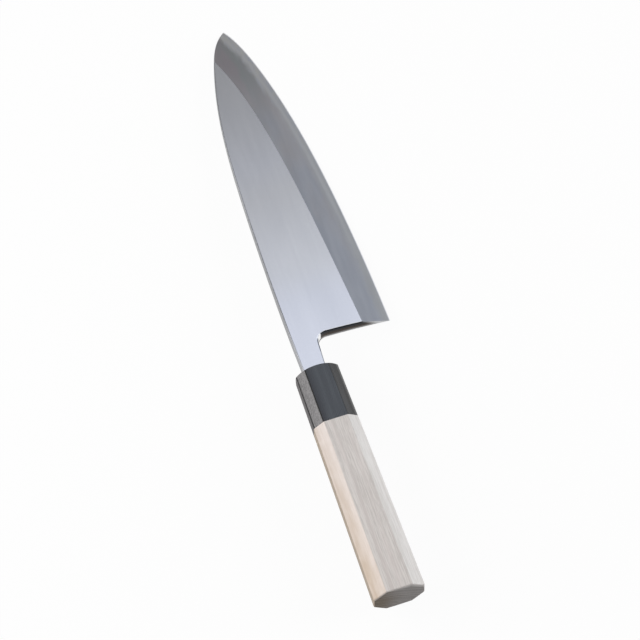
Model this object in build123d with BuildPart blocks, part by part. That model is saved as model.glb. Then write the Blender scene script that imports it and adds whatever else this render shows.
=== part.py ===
from build123d import *
import os

# Deba: a heavy single-bevel kitchen knife for fish, made for the right hand, with an octagonal handle.
# X runs along the handle's axis from the butt to the point of the blade, Y points from the
# cutting edge to the spine, and Z points out of the bevelled face. The origin is the centre
# of the butt face. All lengths are in millimetres.

# Handle: one straight taper from the butt to the front of the ferrule
grip_length = 95.8
ferrule_length = 31.0
butt_height = 26.2
butt_thickness = 21.2
butt_corner_cut = 6.35
front_height = 21.75
front_thickness = 19.35
front_corner_cut = 4.8
facet_edge_rounding = 0.7
butt_rim_rounding = 0.6
butt_rim_reach = 5.0
# Both ends are rounded on a lathe: a flat middle, then an arc outwards
butt_flat_radius = 9.5
butt_arc_radius = 35.0
front_flat_radius = 6.0
front_arc_radius = 10.0

# Joint between grip and ferrule: a round tenon on the grip in a blind bore of the ferrule
tenon_diameter = 16.2
tenon_length = 22.0
tenon_clearance = 0.05
tenon_end_gap = 0.6

# Blade
blade_length = 180.0
heel_height = 50.8
neck_length = 16.2
heel_thickness = 8.2
ridge_thickness = 6.5
point_thickness = 2.2
edge_land = 0.25
bevel_width = 15.9
spine_above_axis = 6.5
spine_rounding = 0.6
back_rounding = 0.35
heel_lean = 2.05
heel_bow = 0.35

# Neck and tang
neck_top = 6.2
neck_underside = 5.35
neck_underside_drop = 0.9
neck_fillet = 5.4
tang_length = 94.0
tang_end_height = 5.5
tang_end_thickness = 3.0
tang_corner_rounding = 0.6

# Bedding that holds the tang in its socket
bedding_gap = 0.6
bedding_recess = 0.4
socket_corner_rounding = 1.5
socket_end_gap = 2.0

# Hard steel plate, forge-welded to the back of the soft iron
plate_heel_thickness = 2.1
plate_point_thickness = 1.0
plate_neck_run = 4.0

# Hollow ground in the back of the plate
hollow_depth = 0.45
hollow_edge_rim = 2.2
hollow_spine_rim = 3.0
hollow_lip = 0.1

cut_overrun = 1.0

# The outline as sums of powers of the place along the blade (0 at the heel, 1 at the point): pairs of
# a power and its share of the heel height. Both sums together make 1, where the curves meet.
spine_drop_shares = ((2, 0.137), (8, 0.528), (12, -0.355), (30, 0.151))
edge_rise_shares = ((1, 0.0754), (2, 0.2556), (5, 0.170), (30, 0.038))
# The bevel narrows towards the heel and widens towards the point by these shares of its width
heel_narrowing_share, heel_narrowing_power = 0.12, 5
point_widening_share, point_widening_power = 0.30, 12
# The hollow's stations: place along the blade, depth as a share of hollow_depth, and width as a
# share of the room between the two rims
hollow_shares = (
    (0.035, -0.3, 0.40),
    (0.07, 0.4, 0.80),
    (0.16, 0.95, 1.0),
    (0.40, 1.0, 1.0),
    (0.64, 0.95, 1.0),
    (0.80, 0.75, 0.95),
    (0.90, 0.3, 0.70),
    (0.94, -0.3, 0.35),
)
# Where the spine's own curve takes over from the neck, and how many stations follow a curve
spine_start_share = 0.1
station_count = 12
# How far past the ridge the bevel cutter reaches, in bevel widths
cutter_reach_share = 1.5

handle_length = grip_length + ferrule_length
tang_end_x = handle_length - tang_length
heel_x = handle_length + neck_length
tip_x = heel_x + blade_length
edge_heel_y = spine_above_axis - heel_height
back_z = -heel_thickness / 2


def power_sum(power_shares, place):
    return sum(share * place**power for power, share in power_shares)


def spine_y(place):
    return spine_above_axis - power_sum(spine_drop_shares, place) * heel_height


def edge_y(place):
    return edge_heel_y + power_sum(edge_rise_shares, place) * heel_height


def bevel_width_at(place):
    narrowing = heel_narrowing_share * (1 - place) ** heel_narrowing_power
    widening = point_widening_share * place**point_widening_power
    return bevel_width * (1 - narrowing + widening)


def along(place):
    return heel_x + place * blade_length


def crowded(start, count):
    """Places from a start to the blade's point, closer together towards the point."""
    return [1 - (1 - start) * (1 - step / count) ** 2 for step in range(count + 1)]


def plane_through(first, second, third):
    """Plane through three points, facing the side from which they turn anticlockwise."""
    along_plane = Vector(second) - Vector(first)
    across_plane = Vector(third) - Vector(first)
    return Plane(origin=first, x_dir=along_plane, z_dir=along_plane.cross(across_plane))


def height_on(plane, x, y):
    """Z of a plane at a place in X and Y."""
    normal, origin = plane.z_dir, plane.origin
    return origin.Z - (normal.X * (x - origin.X) + normal.Y * (y - origin.Y)) / normal.Z


# The flat of the bevelled side: thickest at the heel's spine, thinner to the ridge and to the point
flat_plane = plane_through(
    (heel_x, edge_heel_y + bevel_width_at(0), back_z + ridge_thickness),
    (tip_x, spine_y(1), back_z + point_thickness),
    (heel_x, spine_y(0), back_z + heel_thickness),
)
# The weld between soft iron and hard steel
weld_plane = plane_through(
    (heel_x, edge_heel_y, back_z + plate_heel_thickness),
    (tip_x, edge_heel_y, back_z + plate_point_thickness),
    (heel_x, spine_above_axis, back_z + plate_heel_thickness),
)


def octagon_corners(x):
    """Corners of the handle's octagon at a distance x from the butt, anticlockwise seen from the front."""
    share = x / handle_length
    half_height = (butt_height + (front_height - butt_height) * share) / 2
    half_thickness = (butt_thickness + (front_thickness - butt_thickness) * share) / 2
    corner_cut = butt_corner_cut + (front_corner_cut - butt_corner_cut) * share
    quarter = [(half_height, half_thickness - corner_cut), (half_height - corner_cut, half_thickness)]
    half = quarter + [(-y, z) for y, z in reversed(quarter)]
    return [(x, y, z) for y, z in half + [(-y, -z) for y, z in half]]


def tang_section(x, gap, corner):
    """Section of the tang, or of its socket where gap is more than zero, at a distance x."""
    share = (x - tang_end_x) / tang_length
    height = tang_end_height + (neck_top + neck_underside - tang_end_height) * share
    thickness = tang_end_thickness + (heel_thickness - tang_end_thickness) * share
    with BuildSketch(Plane.YZ.offset(x)) as section:
        with Locations(((neck_top - neck_underside) / 2, 0)):
            RectangleRounded(height + 2 * gap, thickness + 2 * gap, corner)
    return section.sketch


def bevel_section(place):
    """Wedge above the bevel: its slope runs from the edge through the ridge and past it."""
    edge, width = edge_y(place), bevel_width_at(place)
    edge_z = back_z + edge_land
    slope = (height_on(flat_plane, along(place), edge + width) - edge_z) / width
    reach = cutter_reach_share * width
    outside = edge - cut_overrun
    with BuildSketch(Plane.YZ.offset(along(place))) as section:
        Polygon(
            (outside, edge_z - slope * cut_overrun),
            (edge + reach, edge_z + slope * reach),
            (outside, edge_z + slope * reach),
            align=None,
        )
    return section.sketch


def hollow_section(place, depth_share, width_share):
    """Shallow lens cut into the back, between the rim at the edge and the rim at the spine."""
    low, high = edge_y(place) + hollow_edge_rim, spine_y(place) - hollow_spine_rim
    middle, half = (low + high) / 2, (high - low) / 2 * width_share
    lip_z, base_z = back_z - hollow_lip, back_z - cut_overrun
    crown_z = back_z + hollow_depth * depth_share
    with BuildSketch(Plane.YZ.offset(along(place))) as section:
        with BuildLine():
            crown = ThreePointArc((middle - half, lip_z), (middle, crown_z), (middle + half, lip_z))
            Polyline(crown @ 1, (middle + half, base_z), (middle - half, base_z), crown @ 0)
        make_face()
    return section.sketch


# Outline of blade and neck, seen from the bevelled side
spine_points = [(along(place), spine_y(place)) for place in crowded(spine_start_share, station_count)]
edge_points = [(along(place), edge_y(place)) for place in crowded(0, station_count)]
neck_start = (handle_length, neck_top)
neck_corner = (handle_length, -neck_underside)
heel_top = (heel_x + heel_lean, -neck_underside - neck_underside_drop)
heel_middle = (heel_x + heel_lean / 2 + heel_bow, (edge_heel_y + heel_top[1]) / 2)

# Blade and neck in one, before the steel is told from the iron
with BuildPart() as blank:
    with BuildSketch(Plane.XY.offset(back_z)) as outline:
        with BuildLine():
            Spline(neck_start, *spine_points)
            Spline(*reversed(edge_points))
            ThreePointArc(edge_points[0], heel_middle, heel_top)
            Polyline(heel_top, neck_corner, neck_start)
        make_face()
        fillet(outline.vertices().sort_by_distance(heel_top)[0], neck_fillet)
    extrude(amount=2 * heel_thickness)
    split(bisect_by=flat_plane, keep=Keep.BOTTOM)
    # The flat's and the back's borders are eased, all but the cutting edge and the neck's end
    for index, radius in ((-1, spine_rounding), (0, back_rounding)):
        border = blank.faces().sort_by(Axis.Z)[index].edges()
        kept_sharp = border.sort_by(Axis.Y)[0], border.sort_by(Axis.X)[0]
        fillet([edge for edge in border if edge not in kept_sharp], radius)
    # The bevel, ground flat from the ridge to the edge
    overrun_share = cut_overrun / blade_length
    bevel_places = [-overrun_share, *crowded(0, station_count), 1 + overrun_share]
    loft([bevel_section(place) for place in bevel_places], mode=Mode.SUBTRACT)

# Everything of the blank under the weld, from a little way into the neck to the point
with BuildPart() as plate_blank:
    add(blank.part)
    split(bisect_by=weld_plane, keep=Keep.BOTTOM)
    split(bisect_by=Plane.YZ.offset(heel_x - plate_neck_run), keep=Keep.TOP)

# Hard steel plate: the cutting edge and the whole back, with its shallow hollow
with BuildPart() as edge_steel:
    add(plate_blank.part)
    loft([hollow_section(*row) for row in hollow_shares], mode=Mode.SUBTRACT)

# Soft iron body: flat, spine, neck and the tapered tang
with BuildPart() as blade_body:
    add(blank.part)
    add(plate_blank.part, mode=Mode.SUBTRACT)
    loft([tang_section(x, 0, tang_corner_rounding) for x in (tang_end_x, handle_length)])

# Socket for the tang, through the ferrule and into the grip, with room for the bedding
with BuildPart() as socket:
    socket_start = tang_end_x - socket_end_gap
    socket_mouth = handle_length + cut_overrun
    loft([tang_section(x, bedding_gap, socket_corner_rounding) for x in (socket_start, socket_mouth)])

# Bedding round the tang, a little short of the ferrule's front
with BuildPart() as tang_bedding:
    add(socket.part)
    split(bisect_by=Plane.YZ.offset(handle_length - bedding_recess), keep=Keep.BOTTOM)
    add(blade_body.part, mode=Mode.SUBTRACT)

# Turned outer form, wider than the octagon but for its two rounded ends
with BuildPart() as turned_form:
    with BuildSketch():
        with BuildLine():
            butt_arc = JernArc((0, butt_flat_radius), (0, 1), butt_arc_radius, -90)
            front_arc = JernArc((handle_length, front_flat_radius), (0, 1), front_arc_radius, 90)
            Line(butt_arc @ 1, front_arc @ 1)
            Polyline(butt_arc @ 0, (0, 0), (handle_length, 0), front_arc @ 0)
        make_face()
    revolve(axis=Axis.X)

# Tapered octagon shared by grip and ferrule, trimmed by the turned form, with its edges eased
with BuildPart() as handle_blank:
    Box(handle_length, butt_height, butt_thickness, align=(Align.MIN, Align.CENTER, Align.CENTER))
    butt_corners, front_corners = octagon_corners(0), octagon_corners(handle_length)
    for corner, start in enumerate(butt_corners):
        facet_plane = plane_through(butt_corners[corner - 1], start, front_corners[corner])
        split(bisect_by=facet_plane, keep=Keep.BOTTOM)
    fillet(handle_blank.edges().filter_by(lambda edge: edge.length > butt_height), facet_edge_rounding)
    add(turned_form.part, mode=Mode.INTERSECT)
    # The butt's rim is broken too, but not the smooth circle inside it
    rim = handle_blank.edges().filter_by(GeomType.CIRCLE, reverse=True)
    fillet(rim.filter_by_position(Axis.X, 0, butt_rim_reach), butt_rim_rounding)

# Grip, with the tenon turned on its front end
with BuildPart() as grip:
    add(handle_blank.part)
    split(bisect_by=Plane.YZ.offset(grip_length), keep=Keep.BOTTOM)
    with BuildSketch(Plane.YZ.offset(grip_length)):
        Circle(tenon_diameter / 2)
    extrude(amount=tenon_length)
    add(socket.part, mode=Mode.SUBTRACT)

# Ferrule, bored from behind for the tenon
with BuildPart() as ferrule:
    add(handle_blank.part)
    split(bisect_by=Plane.YZ.offset(grip_length), keep=Keep.TOP)
    with BuildSketch(Plane.YZ.offset(grip_length)):
        Circle(tenon_diameter / 2 + tenon_clearance)
    extrude(amount=tenon_length + tenon_end_gap, mode=Mode.SUBTRACT)
    add(socket.part, mode=Mode.SUBTRACT)

os.makedirs("parts", exist_ok=True)
pieces = {
    "blade_body": blade_body,
    "edge_steel": edge_steel,
    "tang_bedding": tang_bedding,
    "grip": grip,
    "ferrule": ferrule,
}
for name, piece in pieces.items():
    piece.part.label = name
    export_step(piece.part, f"parts/{name}.step")
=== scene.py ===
"""A deba dressed for its picture: single-bevel clad blade, horn ferrule and pale octagonal grip.

Everything is in metres in the knife's own frame: X runs from the butt to the point, Y from the
cutting edge to the spine, and Z out of the bevelled face.
"""

import math

import bmesh
import bpy
from mathutils import Matrix, Vector


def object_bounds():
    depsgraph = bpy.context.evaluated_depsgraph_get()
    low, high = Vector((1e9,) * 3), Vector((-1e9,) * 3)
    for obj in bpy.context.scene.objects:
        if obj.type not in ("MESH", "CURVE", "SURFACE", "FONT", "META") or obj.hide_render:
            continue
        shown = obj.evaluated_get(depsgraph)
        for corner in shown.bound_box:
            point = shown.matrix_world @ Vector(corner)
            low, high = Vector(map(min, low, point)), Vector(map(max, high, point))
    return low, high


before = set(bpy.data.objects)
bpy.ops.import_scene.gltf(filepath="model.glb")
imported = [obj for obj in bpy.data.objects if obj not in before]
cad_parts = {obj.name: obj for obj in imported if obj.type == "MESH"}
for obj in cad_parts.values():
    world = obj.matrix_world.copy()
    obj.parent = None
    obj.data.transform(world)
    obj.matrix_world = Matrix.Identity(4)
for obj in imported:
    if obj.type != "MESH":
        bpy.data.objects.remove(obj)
cad_low, cad_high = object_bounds()

MM = 0.001
X_AXIS = Vector((1, 0, 0))
WHITE = (1.0, 1.0, 1.0, 1.0)

# What a step along two axes together comes to on the line at 45 degrees between them
DIAGONAL = math.sqrt(0.5)

# The blade's own curves, which tell how far along the blade and how far up the bevel a point lies.
# The edge's heel is the lowest place of the knife on Y, one blade's length behind the point.
blade_length = 180 * MM
heel_height = 50.8 * MM
bevel_width = 15.9 * MM
heel_x = cad_high[0] - blade_length
edge_heel_y = cad_low[1]

# The edge rises towards the point by powers of the way along, each with its share of the heel's
# height. The bevel narrows at the heel and widens at the point by a share of its width in the same way.
edge_rise_shares = ((1, 0.0754), (2, 0.2556), (5, 0.170), (30, 0.038))
heel_narrowing_share, heel_narrowing_power = 0.12, 5
point_widening_share, point_widening_power = 0.30, 12

# The middle of the round corner between the heel and the neck
corner_x, corner_y = 139.55 * MM, -11.38 * MM

# The butt's octagon reaches furthest out on Y and Z: half its height, half its thickness, and how far
# out its cut corners lie, along Y and Z together
butt_half_height, butt_half_thickness = cad_high[1], cad_high[2]
butt_corner_reach = 17.35 * MM

# How fast half the height and half the thickness shrink towards the ferrule's front
height_taper, thickness_taper = 0.01755, 0.0073

# The growth rings of the grip's wood: the middle of the tree that it was cut from, the rings' width,
# and how far they wander
ring_middle_y, ring_middle_z = 34 * MM, -62 * MM
ring_width, ring_wander = 0.8 * MM, 1.6 * MM

# The picture: a long lens from the butt's side, 65 degrees above the bench. Angles are in degrees,
# the lens and the sensor in millimetres, and the rest in metres.
view_azimuth = -107.661
view_elevation = 64.996
view_roll = -1.190
view_distance = 3.063
view_aim = Vector((0.152825, -0.011040, 0.000107))
lens_length = 347.42
sensor_width = 36.0
clip_start, clip_end = 0.1, 200.0

# Where the whole knife balances, and the middles of its blade, ferrule and handle
balance_point = Vector((173.3, -9.6, -1.0)) * MM
blade_middle = Vector((232, -12, 0)) * MM
ferrule_middle = Vector((112, 8, 6)) * MM
handle_middle = Vector((100, 0, 0)) * MM

# How far off the reflectors and the soft boxes stand, and how wide the bench is, in metres
card_distance = 0.7
soft_box_distance = 1.2
bench_reach = 60.0

# The bench's paint for plain light and for what sees it, how much of it glows white for the latter,
# and how strongly the air lights plain surfaces, where 1 is white
bench_lit, bench_seen = 0.45, 0.90
bench_glow = 0.94
air_light = 0.35


def tint(red, green, blue):
    """An opaque colour."""
    return (red, green, blue, 1.0)


def grey(level, warmth=0.0):
    """A grey of a level, a little warmer or, below zero, bluer."""
    return tint(level * (1 + 0.7 * warmth), level * (1 + 0.2 * warmth), level * (1 - 1.3 * warmth))


class Shade:
    """One output of a node. Sums, products and powers of shades add Math nodes to the finish."""

    def __init__(self, finish, socket):
        self.finish, self.socket = finish, socket

    def maths(self, operation, *numbers):
        return self.finish.node("ShaderNodeMath", dict(operation=operation), dict(enumerate(numbers)))

    def __add__(self, other):
        return self.maths("ADD", self, other)

    def __sub__(self, other):
        return self.maths("SUBTRACT", self, other)

    def __rsub__(self, other):
        return self.maths("SUBTRACT", other, self)

    def __mul__(self, other):
        return self.maths("MULTIPLY", self, other)

    def __truediv__(self, other):
        return self.maths("DIVIDE", self, other)

    def __pow__(self, other):
        return self.maths("POWER", self, other)

    def __neg__(self):
        return self * -1

    def __abs__(self):
        return self.maths("ABSOLUTE", self)

    def bigger(self, other):
        return self.maths("MAXIMUM", self, other)

    def smaller(self, other):
        return self.maths("MINIMUM", self, other)

    __radd__, __rmul__ = __add__, __mul__


def blend(first, second, share):
    """A number between two others."""
    return first + (second - first) * share


class Finish:
    """A material, or the world, and the one method that adds a node to its tree."""

    def __init__(self, owner):
        owner.use_nodes = True
        self.owner, self.tree = owner, owner.node_tree
        self.tree.nodes.clear()

    def node(self, kind, settings, inputs, output=0):
        """Adds a node: its settings first, then the values or links of its sockets."""
        node = self.tree.nodes.new(kind)
        for setting, value in settings.items():
            setattr(node, setting, value)
        for socket, value in inputs.items():
            if isinstance(value, Shade):
                self.tree.links.new(value.socket, node.inputs[socket])
            else:
                node.inputs[socket].default_value = value
        return Shade(self, node.outputs[output]) if node.outputs else node

    def place(self):
        """The point of the piece, in the knife's frame."""
        return self.node("ShaderNodeTexCoord", {}, {}, "Object")

    def facing(self):
        """The X, Y and Z of the way that the surface faces, each from -1 to 1."""
        return self.parts(self.node("ShaderNodeTexCoord", {}, {}, "Normal"))

    def parts(self, vector):
        """The X, Y and Z of a vector."""
        first = self.node("ShaderNodeSeparateXYZ", {}, {"Vector": vector})
        return [Shade(self, socket) for socket in first.socket.node.outputs]

    def vectors(self, operation, first, second, output=0):
        """What Vector Math makes of two vectors."""
        settings = dict(operation=operation)
        return self.node("ShaderNodeVectorMath", settings, {0: first, 1: second}, output)

    def held(self, value):
        """A value held between 0 and 1."""
        return self.node("ShaderNodeClamp", {}, {"Value": value})

    def rise(self, value, low, high):
        """0 below low, 1 above high and a smooth rise between them."""
        ends = {"Value": value, "From Min": low, "From Max": high}
        return self.node("ShaderNodeMapRange", dict(interpolation_type="SMOOTHSTEP"), ends)

    def hump(self, value, low, high, slope):
        """1 between low and high, with a smooth slope of a given width outside each of them."""
        return self.rise(value, low - slope, low) * (1 - self.rise(value, high, high + slope))

    def between(self, first, second, share):
        """A colour between two others."""
        return self.node("ShaderNodeMix", dict(data_type="RGBA"), {0: share, 6: first, 7: second}, 2)

    def layers(self, colour, *laid):
        """A colour with others laid over it in turn, each by its own share."""
        for over, share in laid:
            colour = self.between(colour, over, share)
        return colour

    def grain(self, place, size, detail=2.0, turn=0.0):
        """Noise whose spots are about as large as size, in millimetres, turned in degrees about Z."""
        scale = tuple(1 / (length * MM) for length in size)
        rotation = (0.0, 0.0, math.radians(turn))
        turned = self.node("ShaderNodeMapping", {}, {"Vector": place, "Rotation": rotation})
        drawn = self.vectors("MULTIPLY", turned, scale)
        return self.node("ShaderNodeTexNoise", {}, {"Vector": drawn, "Scale": 1.0, "Detail": detail})

    def bump(self, height, depth):
        """A relief whose height of 0 to 1 stands for a depth in metres."""
        return self.node("ShaderNodeBump", {}, {"Height": height, "Distance": depth})

    def glow(self, colour):
        """Light of a colour, where 1 is white."""
        return self.node("ShaderNodeEmission", {}, {"Color": colour, "Strength": 1.0})

    def mixed(self, first, second, share):
        """What a surface shows between two others."""
        return self.node("ShaderNodeMixShader", {}, {0: share, 1: first, 2: second})

    def surface(self, shader):
        """Ends the material with what its surface shows."""
        self.node("ShaderNodeOutputMaterial", {}, {"Surface": shader})
        return self.owner

    def coat(self, **sockets):
        """Ends the material with a shader whose sockets have these names, with _ for a space."""
        named = {socket.replace("_", " "): value for socket, value in sockets.items()}
        return self.surface(self.node("ShaderNodeBsdfPrincipled", {}, named))


def named_finish(name):
    return Finish(bpy.data.materials.new(name))


def along_and_across(finish, x, y):
    """A blade point's share of the way from heel to point, and its share up the bevel from the edge."""
    along = finish.held((x - heel_x) / blade_length)
    edge_y = edge_heel_y + heel_height * sum(share * along ** power for power, share in edge_rise_shares)
    narrowed = heel_narrowing_share * (1 - along) ** heel_narrowing_power
    widened = point_widening_share * along ** point_widening_power
    return along, (y - edge_y) / (bevel_width * (1 - narrowed + widened))


# The bevel's darker and paler tones: the iron where it is cool, warm and near the point, and the
# steel at the heel and at the point
cool_iron_tones = grey(0.52, -0.038), grey(0.585, -0.030)
warm_iron_tones = tint(0.545, 0.528, 0.526), tint(0.592, 0.574, 0.572)
iron_tones_at_point = tint(0.407, 0.420, 0.412), tint(0.448, 0.414, 0.424)
steel_tones_at_heel = grey(0.545, 0.015), grey(0.60, 0.020)
steel_tones_at_point = grey(0.65, -0.020), grey(0.69, 0.035)
bright_border = grey(0.70, 0.015)
# A painted highlight along the very edge
edge_painted_highlight = grey(0.98)


def bevel_tone(finish, place, along, across):
    """The bevel's colour, stone lines and haze: dull iron that clears into bright steel at the edge."""
    stone_lines = finish.grain(place, (12, 0.22, 0.22), turn=62)
    haze = finish.grain(place, (26, 4.5, 4.5))
    patches = finish.grain(place, (22, 10, 10))
    spots = finish.grain(place, (5.0, 2.2, 2.2))
    tone = finish.rise(stone_lines * 0.3 + haze * 0.7, 0.3, 0.7)

    cool_iron = finish.between(*cool_iron_tones, tone)
    warm_iron = finish.between(*warm_iron_tones, tone)
    iron_at_point = finish.between(*iron_tones_at_point, finish.rise(patches + tone * 0.2, 0.48, 0.72))
    warmed = finish.rise(along * 0.8 + patches - across * 0.35, 0.42, 1.05)
    near_point = finish.rise(along, 0.68, 0.90)
    iron = finish.layers(cool_iron, (warm_iron, warmed), (iron_at_point, near_point))

    steel_at_heel = finish.between(*steel_tones_at_heel, tone)
    steel_at_point = finish.between(*steel_tones_at_point, finish.rise(spots, 0.36, 0.64))
    to_point = finish.rise(along, 0.2, 0.95)
    border = finish.hump(across + haze * 0.04 - along * 0.05, 0.14, 0.18, 0.07)
    past_heel = finish.rise(along, 0.1, 0.5)
    on_border = border * past_heel * 0.7
    steel = finish.layers(steel_at_heel, (steel_at_point, to_point), (bright_border, on_border))

    up_in_iron = finish.rise(across + haze * 0.24 + (spots - 0.5) * 0.24, 0.28, 0.52)
    off_edge = finish.rise(across, 0.016, 0.034)
    colour = finish.layers(edge_painted_highlight, (finish.between(steel, iron, up_in_iron), off_edge))
    return colour, stone_lines, haze


# The heel's painted shade, a dark reflection: where it ends towards the edge, by Y less Z, where it
# fades out to the back, by Z, and where its streaks turn a paler painted brown, by how far they reach
# less Z
painted_dark_end = -36.5 * MM, -31.0 * MM
painted_dark_fading = -5.0 * MM, -1.0 * MM
painted_dark_browning = 0.5 * MM, 4.5 * MM
streak_reach = 5.0 * MM

# Its black and brown painted tones, how much of the metal's shine it dulls, and the tone of the bare
# heel
painted_dark_tones = tint(0.017, 0.020, 0.026), tint(0.075, 0.056, 0.044)
painted_dark_dulling = 0.6
bare_heel = grey(0.52, -0.02)


def heel_tone_with_painted_dark(finish, place, y, z):
    """The heel's colour, and its share of dull, painted dark shade, which ends at the bevel and fades
    behind.
    """
    # The share of painted dark shade, lighter and browner towards the back
    scale = finish.rise(y - z, *painted_dark_end) * finish.rise(z, *painted_dark_fading)
    streaks = finish.grain(place, (2.0, 9.0, 1.1))
    painted_pale_share = finish.rise(streaks * streak_reach - z, *painted_dark_browning)
    return finish.between(bare_heel, finish.between(*painted_dark_tones, painted_pale_share), scale), scale


# The flat's darker and paler tones, and those of its middle
flat_tones = grey(0.597, -0.014), grey(0.640, -0.008)
flat_middle_tones = grey(0.580, 0.010), grey(0.622, 0.016)


def flat_tone(finish, place, along, long_lines):
    """The flat's colour: drawn lines, broad bands and faint clouds, and a duller, warmer middle."""
    bands = finish.grain(place, (200, 2.2, 2.2))
    clouds = finish.grain(place, (45, 16, 16))
    tone = finish.rise(long_lines * 0.15 + bands * 0.25 + clouds * 0.6, 0.3, 0.7)
    ends = finish.between(*flat_tones, tone)
    middle = finish.between(*flat_middle_tones, tone)
    return finish.between(ends, middle, finish.hump(along, 0.24, 0.44, 0.14))


# The spine's darker and paler tones on the neck, the blade and the part by the point, and the tones of
# its edge with the flat, all darker than the flat as painted shade, and where on X the neck's tones give
# way to the blade's
neck_spine_tones = grey(0.24, -0.03), grey(0.33, -0.05)
blade_spine_tones = grey(0.190, -0.03), grey(0.260, -0.05)
point_spine_tones = grey(0.250, -0.03), grey(0.300, -0.04)
neck_spine_edge = grey(0.32, -0.04)
spine_edge_tones = grey(0.20, -0.03), grey(0.27, -0.03)
neck_to_blade = 136 * MM, 158 * MM


def spine_tone_with_painted_shade(finish, place, x, along):
    """The colours of the spine, ground across and darkened as painted shade, and of its edge with the
    flat.
    """
    across_lines = finish.grain(place, (0.22, 12, 12), detail=3.0)
    past_neck = finish.rise(x, *neck_to_blade)
    to_point = finish.rise(along, 0.32, 0.52)
    neck = finish.between(*neck_spine_tones, across_lines)
    blade = finish.between(*blade_spine_tones, across_lines)
    point = finish.between(*point_spine_tones, across_lines)
    spine = finish.between(neck, finish.between(blade, point, to_point), past_neck)
    spine_edge = finish.between(neck_spine_edge, finish.between(*spine_edge_tones, to_point), past_neck)
    return spine, spine_edge


# The round corner's glint: from where to where it lies, out from the corner's middle and aside, each
# with the width of its slopes, and where it starts over Z
glint_out = 5.1 * MM, 5.9 * MM, 0.4 * MM
glint_aside = -1.5 * MM, 0.8 * MM, 0.6 * MM
glint_height = -3.0 * MM, -1.0 * MM
glint_tone = grey(0.97)

# The neck's underside on X: where it takes the spine's painted shade, and its painted shade line beside
# the corner
underside_reach = 128 * MM, 136 * MM
neck_painted_shade_reach = 136.5 * MM, 140.5 * MM, 3.0 * MM
neck_painted_shade_tone = tint(0.085, 0.098, 0.135)

# How rough the flat is, how much rougher the bevel, the spine and the heel are, and the lines' depth
flat_rough = 0.18
bevel_rougher, spine_rougher = 0.12, 0.15
iron_relief = 0.0009 * MM


def corner_glint(finish, x, y, z):
    """The glint on the round corner between the heel and the neck, halfway round it."""
    out_x, out_y = x - corner_x, y - corner_y
    outwards = finish.hump((out_x + out_y) * DIAGONAL, *glint_out)
    aside = finish.hump((out_x - out_y) * DIAGONAL, *glint_aside)
    return outwards * aside * finish.rise(z, *glint_height)


def soft_iron():
    """Satin soft iron: long lines on the flat, a hazy stone finish on the bevel, painted shade on the
    heel and spine.
    """
    finish = named_finish("soft_iron_satin")
    place = finish.place()
    x, y, z = finish.parts(place)
    along, across = along_and_across(finish, x, y)

    # The faces, told apart by the way that each of them faces. The bevel's share starts low, because
    # near the point the bevel leans only a little from the flat.
    facing_x, facing_y, facing_z = finish.facing()
    on_bevel = finish.rise(-facing_y, 0.06, 0.11) * finish.rise(facing_z, 0.5, 0.7)
    on_heel = finish.rise(-facing_x, 0.36, 0.50)
    on_spine = finish.rise(facing_y, 0.12, 0.30)
    on_spine_edge = on_spine * finish.rise(facing_z, 0.10, 0.25)
    upright = 1 - finish.rise(facing_z ** 2, 0.02, 0.10)
    under_neck = upright * finish.rise(-facing_y, 0.60, 0.80) * finish.rise(x, *underside_reach)
    # A line of painted shade where the round corner runs into the neck
    neck_painted_shade = finish.rise(-facing_y, 0.2, 0.5) * finish.hump(x, *neck_painted_shade_reach)
    glint = corner_glint(finish, x, y, z)

    long_lines = finish.grain(place, (90, 0.30, 0.30), detail=3.0)
    bevel_colour, stone_lines, haze = bevel_tone(finish, place, along, across)
    spine_colour, spine_edge_colour = spine_tone_with_painted_shade(finish, place, x, along)
    # The heel takes the painted dark shade, which also dulls its metal
    heel_colour, scale = heel_tone_with_painted_dark(finish, place, y, z)
    # The spine's and the neck underside's darker tones are painted shade
    colour = finish.layers(
        flat_tone(finish, place, along, long_lines),
        (bevel_colour, on_bevel),
        (spine_colour, on_spine.bigger(under_neck)),
        (spine_edge_colour, on_spine_edge),
        (neck_painted_shade_tone, neck_painted_shade),
        (heel_colour, on_heel),
        (glint_tone, glint),
    )
    rough = flat_rough + long_lines * 0.05 + on_bevel * (bevel_rougher + haze * 0.06)
    return finish.coat(
        Base_Color=colour,
        Metallic=1 - on_heel * (1 - glint) * scale * painted_dark_dulling,
        Specular_IOR_Level=0.0,
        Roughness=rough + (on_spine + on_heel) * spine_rougher,
        Normal=finish.bump(blend(long_lines, stone_lines, on_bevel), iron_relief),
    )


# The back's darker and paler tones in the hollow and on the ground rim, the rim's plane, where over Z
# the hollow starts above it, and the tone of the steel's strip in the spine, darkened as painted shade
hollow_tones = grey(0.46, -0.02), grey(0.62, -0.02)
rim_tones = grey(0.66, -0.02), grey(0.74, -0.01)
rim_z = -4.1 * MM
hollow_start = rim_z + 0.03 * MM, rim_z + 0.12 * MM
steel_spine_painted_shade = grey(0.22, -0.03)

# How rough the steel is on the bevel and the rim, how much rougher in the hollow, and its lines' depth
edge_rough, rim_rough = 0.32, 0.2
hollow_rougher = 0.1
steel_relief = 0.0012 * MM


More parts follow.
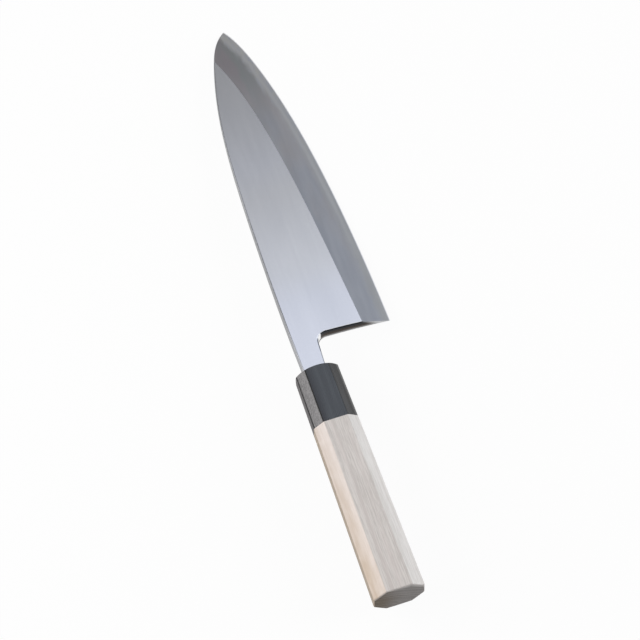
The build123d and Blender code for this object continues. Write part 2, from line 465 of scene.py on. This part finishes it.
def hard_steel():
    """The edge's steel: brighter than the iron towards the point, and hollow ground behind."""
    finish = named_finish("hard_steel_stone_ground")
    place = finish.place()
    x, y, z = finish.parts(place)
    along, across = along_and_across(finish, x, y)
    facing_x, facing_y, facing_z = finish.facing()
    behind = finish.rise(-facing_z, 0.3, 0.6)
    on_heel = finish.rise(-facing_x, 0.40, 0.60)
    on_spine = finish.rise(facing_y, 0.40, 0.60)
    in_hollow = finish.rise(z, *hollow_start)

    grinding = finish.grain(place, (0.45, 50, 50), detail=4.0, turn=-14)
    rim_lines = finish.grain(place, (60, 0.25, 0.25))
    hollow_colour = finish.between(*hollow_tones, grinding)
    rim_colour = finish.between(*rim_tones, rim_lines)
    back_colour = finish.between(rim_colour, hollow_colour, in_hollow)
    bevel_colour, stone_lines, haze = bevel_tone(finish, place, along, across)
    # The heel takes the painted dark shade, which also dulls its metal
    heel_colour, scale = heel_tone_with_painted_dark(finish, place, y, z)
    colour = finish.layers(
        bevel_colour,
        (back_colour, behind),
        (heel_colour, on_heel),
        (steel_spine_painted_shade, on_spine),
    )
    back_rough = rim_rough + in_hollow * (hollow_rougher + grinding * 0.12)
    back_lines = blend(rim_lines, grinding, in_hollow)
    return finish.coat(
        Base_Color=colour,
        Metallic=1 - on_heel * scale * painted_dark_dulling,
        Specular_IOR_Level=0.0,
        Roughness=blend(edge_rough + haze * 0.06, back_rough, behind),
        Normal=finish.bump(blend(stone_lines, back_lines, behind), steel_relief),
    )


# The horn's darker and paler tones on the wide face, towards the edge, darker as painted shade, and
# towards the spine
horn_face_tones = tint(0.036, 0.041, 0.046), tint(0.051, 0.058, 0.064)
horn_edge_painted_shade_tones = grey(0.003, -0.05), grey(0.028, -0.10)
horn_spine_tones = tint(0.016, 0.012, 0.013), tint(0.088, 0.080, 0.083)
horn_face_shadow = grey(0.014, -0.10)
# The side by the spine, darker as painted shade, the painted shade lines and the painted highlight rim
horn_side_painted_shade = tint(0.024, 0.019, 0.020)
horn_painted_shade_line = grey(0.002)
horn_painted_highlight_rim = grey(0.10)

# Where the wide face darkens, by Y, and where the facet towards the spine does, by Y less Z
face_shadow_reach = 2.0 * MM, 6.0 * MM
spine_facet_reach = -1 * MM, 4 * MM

# The dull line of painted shade between that facet and the side, over Z, and how far the line by the
# wide face and the painted highlight rim of the edge's side reach in from them
side_line_reach = 4.5 * MM, 5.2 * MM, 0.25 * MM
wide_line_reach = 0.20 * MM, 0.55 * MM
highlight_rim_reach = 0.5 * MM, 1.3 * MM

# How rough the horn is, how much rougher on the side and in its lines, and the scratches' depth
horn_rough = 0.22
side_rougher, line_rougher = 0.24, 0.5
horn_relief = 0.006 * MM


def facet_lines(finish, x, y, z, facing_y):
    """The dark dull lines of painted shade by the facet towards the spine, and the edge side's painted
    highlight rim.
    """
    side_line = finish.rise(facing_y, 0.60, 0.70) * finish.hump(z, *side_line_reach)
    to_wide_face = butt_half_thickness - thickness_taper * x - z
    wide_line = finish.rise(facing_y, 0.09, 0.14) * (1 - finish.rise(to_wide_face, *wide_line_reach))
    to_edge_side = butt_half_height - height_taper * x + y
    painted_highlight_rim = finish.rise(-facing_y, 0.60, 0.70) * (1 - finish.rise(to_edge_side, *highlight_rim_reach))
    return wide_line.bigger(side_line * 0.8), painted_highlight_rim


def buffalo_horn():
    """Polished black horn: paler streaks along it, and the fine scratches of its sanding."""
    finish = named_finish("buffalo_horn_polished")
    place = finish.place()
    x, y, z = finish.parts(place)
    facing_y = finish.facing()[1]
    streaks = finish.grain(place, (30, 2.0, 2.0), detail=4.0)
    fibres = finish.grain(place, (12, 0.30, 0.30))
    scratches = finish.grain(place, (6.0, 0.36, 0.36), turn=38)
    gouges = finish.grain(place, (7.0, 0.65, 0.65), turn=38)
    pale = finish.rise(streaks * 0.7 + fibres * 0.3, 0.42, 0.66)

    to_face = 1 - finish.rise(y - z, *spine_facet_reach)
    gouged = finish.rise(gouges, 0.40, 0.60) * 0.65 + to_face * 0.35
    spine_facet = finish.between(*horn_spine_tones, gouged)
    on_side = finish.rise(facing_y, 0.90, 0.97)
    lines, painted_highlight_rim = facet_lines(finish, x, y, z, facing_y)
    colour = finish.layers(
        finish.between(*horn_face_tones, pale),
        (horn_face_shadow, finish.rise(y, *face_shadow_reach)),
        (finish.between(*horn_edge_painted_shade_tones, pale), finish.rise(-facing_y, 0.2, 0.6)),
        (spine_facet, finish.rise(facing_y, 0.2, 0.6)),
        (horn_side_painted_shade, on_side),
        (horn_painted_shade_line, lines),
        (horn_painted_highlight_rim, painted_highlight_rim),
    )
    return finish.coat(
        Base_Color=colour,
        Roughness=horn_rough + scratches * 0.14 + on_side * side_rougher + lines * line_rougher,
        IOR=1.55,
        Normal=finish.bump(scratches * 0.6 + fibres * 0.4, horn_relief),
    )


# The wood's darker and paler tones on the wide face, the spine's side, darker as painted shade, and the
# edge's side, paler as painted light, and the blush that runs through the face
wood_face_tones = tint(0.612, 0.574, 0.550), tint(0.762, 0.720, 0.695)
wood_side_painted_shade_tones = tint(0.310, 0.252, 0.198), tint(0.415, 0.350, 0.285)
wood_edge_painted_light_tones = tint(0.690, 0.665, 0.648), tint(0.800, 0.782, 0.770)
wood_blush = tint(0.700, 0.628, 0.606)

# The mottle of the facet towards the spine, paler than the face in part as painted light: its dark and
# its pale, each at the butt and at the ferrule, where the one turns into the other on X, and where the
# facet darkens, by Y less Z
dark_mottle_tones = tint(0.600, 0.485, 0.385), tint(0.650, 0.560, 0.500)
pale_mottle_tones = tint(0.780, 0.690, 0.630), tint(0.805, 0.735, 0.700)
butt_to_ferrule = 0 * MM, 100 * MM
mottle_reach = -3 * MM, 6 * MM

# The end grain's cool and warm tones, darker than the face's partly as painted shade, and where it turns
# warm, by Y less a quarter of Z
cool_end_tones = tint(0.262, 0.244, 0.236), tint(0.485, 0.459, 0.448)
warm_end_tones = tint(0.146, 0.117, 0.088), tint(0.290, 0.243, 0.197)
warm_end_reach = -4.5 * MM, 10.5 * MM

# The painted highlight along the end's rim: its tone, its width, how far that wanders, and the side that
# it is on, by Z less most of Y
end_rim_highlight = tint(0.85, 0.82, 0.80)
end_rim_highlight_width = 0.8 * MM, 3.6 * MM
end_rim_highlight_wander = 1.2 * MM
end_rim_highlight_side = 4 * MM, 14 * MM

# Right at the rim the end keeps the wide face's tones as a painted highlight: on which side, over Z, and
# how far in
pale_rim_side = 0 * MM, 4 * MM
pale_rim_width = 0.5 * MM, 1.1 * MM

# How rough the sanded wood is, and how deep its fibres stand
wood_rough = 0.60
wood_relief = 0.04 * MM


def growth_rings(finish, place, y, z):
    """Rings round the middle of the tree: noise on the distance from it, which wanders a little."""
    from_middle = ((y - ring_middle_y) ** 2 + (z - ring_middle_z) ** 2) ** 0.5
    wandered = from_middle + finish.grain(place, (60, 12, 12)) * ring_wander
    inputs = {"W": wandered / ring_width, "Scale": 1.0, "Detail": 3.0}
    return finish.node("ShaderNodeTexNoise", dict(noise_dimensions="1D"), inputs)


def end_grain(finish, y, z, end_tone, clouds):
    """The butt's colour, partly painted shade, with painted highlights on its rim by the edge and the
    face.
    """
    warmth = finish.rise(y - abs(z) * 0.25, *warm_end_reach)
    cool_end = finish.between(*cool_end_tones, end_tone)
    end = finish.between(cool_end, finish.between(*warm_end_tones, end_tone), warmth)
    to_cut_corner = (butt_corner_reach - abs(y) - abs(z)) * DIAGONAL
    to_rim = (butt_half_thickness - abs(z)).smaller(to_cut_corner)
    painted_pale_share = 1 - finish.rise(to_rim + clouds * end_rim_highlight_wander, *end_rim_highlight_width)
    painted_pale_share = painted_pale_share * finish.rise(z - y * 0.8, *end_rim_highlight_side)
    # The painted highlight right at the rim, on the bevelled face's side
    pale_rim = finish.rise(z, *pale_rim_side) * (1 - finish.rise(to_rim, *pale_rim_width))
    return finish.between(end, end_rim_highlight, painted_pale_share * 0.85), pale_rim


def mottled_facet(finish, place, x, y, z, clouds, fibres):
    """The facet towards the spine: soft dark and pale spots, paler towards the ferrule and the face,
    partly painted light.
    """
    mottle = finish.grain(place, (7.0, 2.0, 2.0))
    soft_tone = finish.rise(clouds * 0.35 + mottle * 0.35 + fibres * 0.3, 0.38, 0.62)
    from_butt = finish.rise(x, *butt_to_ferrule)
    to_face = 1 - finish.rise(y - z, *mottle_reach)
    dark_mottle = finish.between(*dark_mottle_tones, from_butt)
    pale_mottle = finish.between(*pale_mottle_tones, from_butt)
    return finish.between(dark_mottle, pale_mottle, soft_tone * 0.45 + to_face * 0.55)


def magnolia_wood():
    """Pale unvarnished wood: growth rings that cross the grip as lines, fine pores, facets toned by
    painted light and shade, darker end grain.
    """
    finish = named_finish("magnolia_wood_sanded")
    place = finish.place()
    x, y, z = finish.parts(place)
    facing_x, facing_y, facing_z = finish.facing()
    rings = growth_rings(finish, place, y, z)
    fibres = finish.grain(place, (22, 0.50, 0.50), detail=3.0)
    flecks = finish.grain(place, (5.0, 0.45, 0.45))
    clouds = finish.grain(place, (40, 6.0, 6.0))
    pores = finish.rise(finish.grain(place, (6.0, 0.16, 0.16), detail=1.0), 0.60, 0.75)
    blush = finish.rise(finish.grain(place, (90, 2.2, 2.2)), 0.48, 0.64)
    figure = rings * 0.26 + fibres * 0.32 + flecks * 0.28 + clouds * 0.14
    tone = finish.rise(figure, 0.41, 0.58) - pores * 0.35
    end_tone = finish.rise(rings * 0.75 + fibres * 0.25, 0.36, 0.62) - pores * 0.2

    spine_facet = mottled_facet(finish, place, x, y, z, clouds, fibres)
    end, pale_rim = end_grain(finish, y, z, end_tone, clouds)
    # Each facet's own tones are partly painted light and shade: the spine's side darker, the others
    # paler
    colour = finish.layers(
        finish.between(*wood_face_tones, tone),
        (wood_blush, blush * 0.35),
        (spine_facet, finish.rise(facing_y + facing_z * 0.15, 0.1, 0.6)),
        (finish.between(*wood_side_painted_shade_tones, tone), finish.rise(facing_y, 0.85, 0.97)),
        (finish.between(*wood_edge_painted_light_tones, tone), finish.rise(-facing_y, 0.1, 0.6)),
        (end, finish.rise(-facing_x, 0.75, 0.95) * (1 - pale_rim)),
    )
    return finish.coat(
        Base_Color=colour,
        Roughness=wood_rough + fibres * 0.12,
        Specular_IOR_Level=0.2,
        Normal=finish.bump(tone * 0.5 + fibres * 0.5, wood_relief),
    )


# The dark and the pale grains of the filler
filler_tones = grey(0.02), grey(0.05, 0.1)


def tang_filler():
    """Dull dark filler round the tang."""
    finish = named_finish("tang_filler_dull")
    spots = finish.grain(finish.place(), (0.8, 0.8, 0.8))
    return finish.coat(Base_Color=finish.between(*filler_tones, spots), Roughness=0.8)


def dress(node, material):
    """Gives a piece of the frame its finish."""
    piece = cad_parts[node]
    piece.data.materials.clear()
    piece.data.materials.append(material)


def resting_plane():
    """A point of the bench and its upward normal: the face of the knife's hull that it rests on.

    That face looks well downwards, and holds the balance point when this is dropped square onto it.
    """
    meshes = [piece.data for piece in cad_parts.values()]
    cloud = bpy.data.meshes.new("corners")
    cloud.from_pydata([vertex.co for mesh in meshes for vertex in mesh.vertices], [], [])
    hull = bmesh.new()
    hull.from_mesh(cloud)
    bmesh.ops.convex_hull(hull, input=hull.verts)
    for face in hull.faces:
        corner, down = face.verts[0].co, face.normal
        dropped = balance_point + down * down.dot(corner - balance_point)
        sides = [(loop.link_loop_next.vert.co - loop.vert.co).cross(dropped - loop.vert.co).dot(down)
                 for loop in face.loops]
        if down.z < -0.5 and min(sides) >= 0:
            found = corner.copy(), -down
    hull.free()
    bpy.data.meshes.remove(cloud)
    return found


def panel(name, place, aim, width, height):
    """A flat panel square to its aim, and the line of its width, nearest to X.

    Each corner lies half the width along that line and half the height across it from the middle.
    """
    out = (aim - place).normalized()
    along = (X_AXIS - out * X_AXIS.dot(out)).normalized()
    up = out.cross(along)
    shares = (-0.5, -0.5), (0.5, -0.5), (0.5, 0.5), (-0.5, 0.5)
    corners = [place + along * width * side + up * height * rise for side, rise in shares]
    mesh = bpy.data.meshes.new(name)
    mesh.from_pydata(corners, [], [(0, 1, 2, 3)])
    made = bpy.data.objects.new(name, mesh)
    bpy.context.scene.collection.objects.link(made)
    return made, along


def soft_box(name, direction, width, height, radiance):
    """A glowing panel that lights the knife: its power is pi times its area times its radiance."""
    lamp = bpy.data.lights.new(name, "AREA")
    lamp.shape = "RECTANGLE"
    lamp.size, lamp.size_y = width, height
    lamp.energy = math.pi * width * height * radiance
    made = bpy.data.objects.new(name, lamp)
    made.location = handle_middle + direction * soft_box_distance
    made.rotation_mode = "QUATERNION"
    made.rotation_quaternion = (-direction).to_track_quat("-Z", "Y")
    made.visible_camera = made.visible_glossy = False
    bpy.context.scene.collection.objects.link(made)


def card(name, aim, direction, width, height, run, near_light, far_light):
    """A reflector that only gloss sees. Its light changes smoothly from the butt's end to the point's.

    The change starts and ends where run says, in metres from the reflector's middle along its width.
    """
    place = aim + direction.normalized() * card_distance
    made, along = panel(name, place, aim, width, height)
    finish = named_finish(name)
    from_middle = finish.vectors("SUBTRACT", finish.place(), place)
    length = finish.vectors("DOT_PRODUCT", from_middle, along, "Value")
    colour = finish.between(near_light, far_light, finish.rise(length, *run))
    made.data.materials.append(finish.surface(finish.glow(colour)))
    made.visible_camera = made.visible_diffuse = made.visible_shadow = False


def seen_rays(finish):
    """1 for what the camera, the gloss or a clear piece sees, and 0 for plain light."""
    kinds = "Is Camera Ray", "Is Glossy Ray", "Is Transmission Ray"
    camera, gloss, clear = [finish.node("ShaderNodeLightPath", {}, {}, kind) for kind in kinds]
    return camera.bigger(gloss).bigger(clear)


def bench():
    """The pale floor: white to what sees it but with the knife's shadow, and clear from below."""
    level_point, normal = resting_plane()
    floor = panel("bench", level_point, level_point + normal, bench_reach, bench_reach)[0]
    finish = named_finish("bench_white")
    seen = seen_rays(finish)
    paint = finish.between(grey(bench_lit), grey(bench_seen), seen)
    shaded = finish.node("ShaderNodeBsdfDiffuse", {}, {"Color": paint})
    top = finish.mixed(shaded, finish.glow(WHITE), seen * bench_glow)
    clear = finish.node("ShaderNodeBsdfTransparent", {}, {})
    below = finish.node("ShaderNodeNewGeometry", {}, {}, "Backfacing")
    floor.data.materials.append(finish.surface(finish.mixed(top, clear, below)))


def studio_air():
    """The world: dim for plain light, white for what sees it."""
    world = bpy.data.worlds.new("studio_air")
    bpy.context.scene.world = world
    finish = Finish(world)
    strength = air_light + seen_rays(finish) * (1 - air_light)
    air = finish.node("ShaderNodeBackground", {}, {"Color": WHITE, "Strength": strength})
    finish.node("ShaderNodeOutputWorld", {}, {"Surface": air})


def picture_camera():
    """The photograph's camera: it stands off from its aim, looks at it and rolls about its own line."""
    azimuth, elevation, roll = map(math.radians, (view_azimuth, view_elevation, view_roll))
    flat = math.cos(elevation)
    back = Vector((math.sin(azimuth) * flat, -math.cos(azimuth) * flat, math.sin(elevation)))
    turn = (-back).to_track_quat("-Z", "Y").to_matrix() @ Matrix.Rotation(roll, 3, "Z")
    lens = bpy.data.cameras.new("picture")
    lens.lens, lens.sensor_width = lens_length, sensor_width
    lens.clip_start, lens.clip_end = clip_start, clip_end
    camera = bpy.data.objects.new("picture", lens)
    camera.matrix_world = Matrix.Translation(view_aim + back * view_distance) @ turn.to_4x4()
    bpy.context.scene.collection.objects.link(camera)
    bpy.context.scene.camera = camera


dress("blade_body", soft_iron())
dress("edge_steel", hard_steel())
dress("ferrule", buffalo_horn())
dress("grip", magnolia_wood())
dress("tang_bedding", tang_filler())

picture_camera()
bench()
studio_air()

# The soft boxes stand over the spine's side and the edge's side, and are hidden from gloss
soft_box("left_soft_box", Vector((0.35, 0.85, 0.36)), width=1.2, height=0.8, radiance=4.5)
soft_box("right_soft_box", Vector((-0.15, -0.92, 0.36)), width=0.7, height=0.7, radiance=6.0)

# The reflectors for the flat, the bevel and the ferrule's facet by the spine
card("sky_card", blade_middle, Vector((0.481, -0.015, 0.876)), width=1.0, height=0.68,
     run=(-0.120, 0.075), near_light=grey(1.21, -0.098), far_light=grey(0.375, -0.01))
card("bevel_card", blade_middle, Vector((0.45, -0.684, 0.574)), width=1.0, height=0.6,
     run=(-0.01, 0.11), near_light=tint(0.472, 0.508, 0.575), far_light=grey(0.205))
card("ferrule_card", ferrule_middle, Vector((0.39, 0.91, 0.125)), width=0.44, height=0.26,
     run=(-0.2, 0.2), near_light=grey(4.4), far_light=grey(4.6))

bpy.context.scene.view_settings.view_transform = "Standard"
